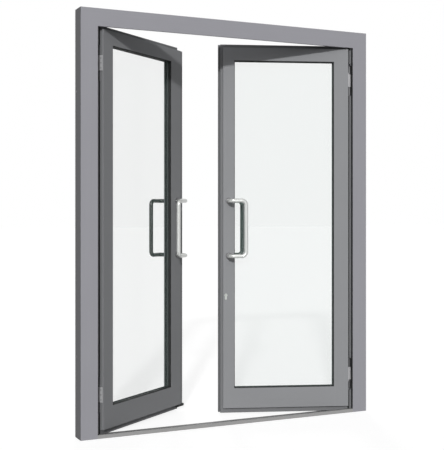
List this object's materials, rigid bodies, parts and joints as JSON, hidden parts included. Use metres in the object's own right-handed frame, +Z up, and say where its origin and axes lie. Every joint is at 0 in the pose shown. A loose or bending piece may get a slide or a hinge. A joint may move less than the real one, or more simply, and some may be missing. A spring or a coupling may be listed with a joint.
{
  "type": "glazed aluminium double door with frame",
  "caption": "Glazed aluminium double door in its frame: an active and a passive leaf hung on barrel hinges, with bent pull handles, key lock and flush bolts.",
  "frame": {"origin": "middle of the frame's underside, half way along its width and half way through its depth", "axes": "+X along the wall to the right seen from the front, +Y inward through the doorway, +Z up"},
  "size_m": [1.644, 0.5221, 2.1],
  "materials": {
    "frame_aluminium": "satin anodised",
    "leaf_aluminium": "satin anodised",
    "cast_aluminium": "mill finish",
    "spacer_aluminium": "mill finish",
    "hinge_aluminium": "satin anodised",
    "handle_metal": "satin brushed",
    "hinge_steel": "satin",
    "lock_steel": "satin",
    "lock_nickel": "nickel plated",
    "clear_glass": "clear float glass",
    "black_rubber": "matte",
    "black_plastic": "matte"
  },
  "bodies": {
    "frame": {"left_jamb": "frame_aluminium", "right_jamb": "frame_aluminium", "head": "frame_aluminium", "threshold": "frame_aluminium", "frame_corner_cleats": "cast_aluminium", "frame_stop_seals": "black_rubber", "hinge_frame_halves": "hinge_steel", "hinge_pins": "hinge_steel", "head_bolt_keep": "lock_steel"},
    "left_leaf": {"left_hinge_stile": "leaf_aluminium", "left_meeting_stile": "leaf_aluminium", "left_top_rail": "leaf_aluminium", "left_bottom_rail": "leaf_aluminium", "left_outer_pane": "clear_glass", "left_inner_pane": "clear_glass", "left_spacer": "spacer_aluminium", "left_glazing_beads": "leaf_aluminium", "left_front_gasket": "black_rubber", "left_rear_gasket": "black_rubber", "left_setting_blocks": "black_plastic", "left_end_plugs": "black_plastic", "left_hinge_leaf_halves": "hinge_aluminium", "left_front_handle": "handle_metal", "left_rear_handle": "handle_metal", "left_handle_roses": "handle_metal", "left_handle_studs": "lock_steel", "left_bottom_seal": "black_rubber", "meeting_seal": "black_rubber", "meeting_dust_block": "black_rubber", "lock_keep": "lock_steel", "upper_bolt_case": "lock_steel", "lower_bolt_case": "lock_steel"},
    "right_leaf": {"right_hinge_stile": "leaf_aluminium", "right_meeting_stile": "leaf_aluminium", "right_top_rail": "leaf_aluminium", "right_bottom_rail": "leaf_aluminium", "right_outer_pane": "clear_glass", "right_inner_pane": "clear_glass", "right_spacer": "spacer_aluminium", "right_glazing_beads": "leaf_aluminium", "right_front_gasket": "black_rubber", "right_rear_gasket": "black_rubber", "right_setting_blocks": "black_plastic", "right_end_plugs": "black_plastic", "right_hinge_leaf_halves": "hinge_aluminium", "right_front_handle": "handle_metal", "right_rear_handle": "handle_metal", "right_handle_roses": "handle_metal", "right_handle_studs": "lock_steel", "right_bottom_seal": "black_rubber", "lock_case": "lock_steel", "lock_faceplate": "lock_steel", "key_cylinder": "lock_nickel"},
    "upper_lever": {"upper_bolt_lever": "lock_steel"},
    "upper_rod": {"upper_bolt_rod": "lock_steel"},
    "lower_lever": {"lower_bolt_lever": "lock_steel"},
    "lower_rod": {"lower_bolt_rod": "lock_steel"},
    "key_plug": {"key_plug": "lock_nickel"},
    "deadbolt": {"deadbolt": "lock_steel"}
  },
  "joints": [
    {"name": "left_leaf_hinge", "type": "hinge", "parent": "frame", "child": "left_leaf", "pos_m": [-0.745, 0.007, 1], "axis": [0, 0, 1], "range_deg": [-36, 54]},
    {"name": "right_leaf_hinge", "type": "hinge", "parent": "frame", "child": "right_leaf", "pos_m": [0.745, 0.007, 1], "axis": [0, 0, -1], "range_deg": [-19.5, 70.5]},
    {"name": "key_turn", "type": "hinge", "parent": "right_leaf", "child": "key_plug", "pos_m": [0.07936, 0.21832, 0.652], "axis": [0.3338, 0.9426, 0], "range_deg": [0, 360.5]},
    {"name": "deadbolt_slide", "type": "slide", "parent": "right_leaf", "child": "deadbolt", "axis": [-0.9426, 0.3338, 0], "range_m": [0, 0.024]},
    {"name": "upper_lever_turn", "type": "hinge", "parent": "left_leaf", "child": "upper_lever", "pos_m": [-0.13876, 0.42644, 1.7], "axis": [-0.5878, 0.809, 0], "range_deg": [0, 170.5]},
    {"name": "upper_rod_slide", "type": "slide", "parent": "left_leaf", "child": "upper_rod", "axis": [0, 0, 1], "range_m": [0, 0.022]},
    {"name": "lower_lever_turn", "type": "hinge", "parent": "left_leaf", "child": "lower_lever", "pos_m": [-0.13876, 0.42644, 0.35], "axis": [0.5878, -0.809, 0], "range_deg": [0, 170.5]},
    {"name": "lower_rod_slide", "type": "slide", "parent": "left_leaf", "child": "lower_rod", "axis": [0, 0, -1], "range_m": [0, 0.011]}
  ],
  "couplings": [
    {"joint": "key_turn", "follows": "deadbolt_slide", "rad_per_m": 261.8},
    {"joint": "upper_lever_turn", "follows": "upper_rod_slide", "rad_per_m": 134.87},
    {"joint": "lower_lever_turn", "follows": "lower_rod_slide", "rad_per_m": 269.73}
  ]
}
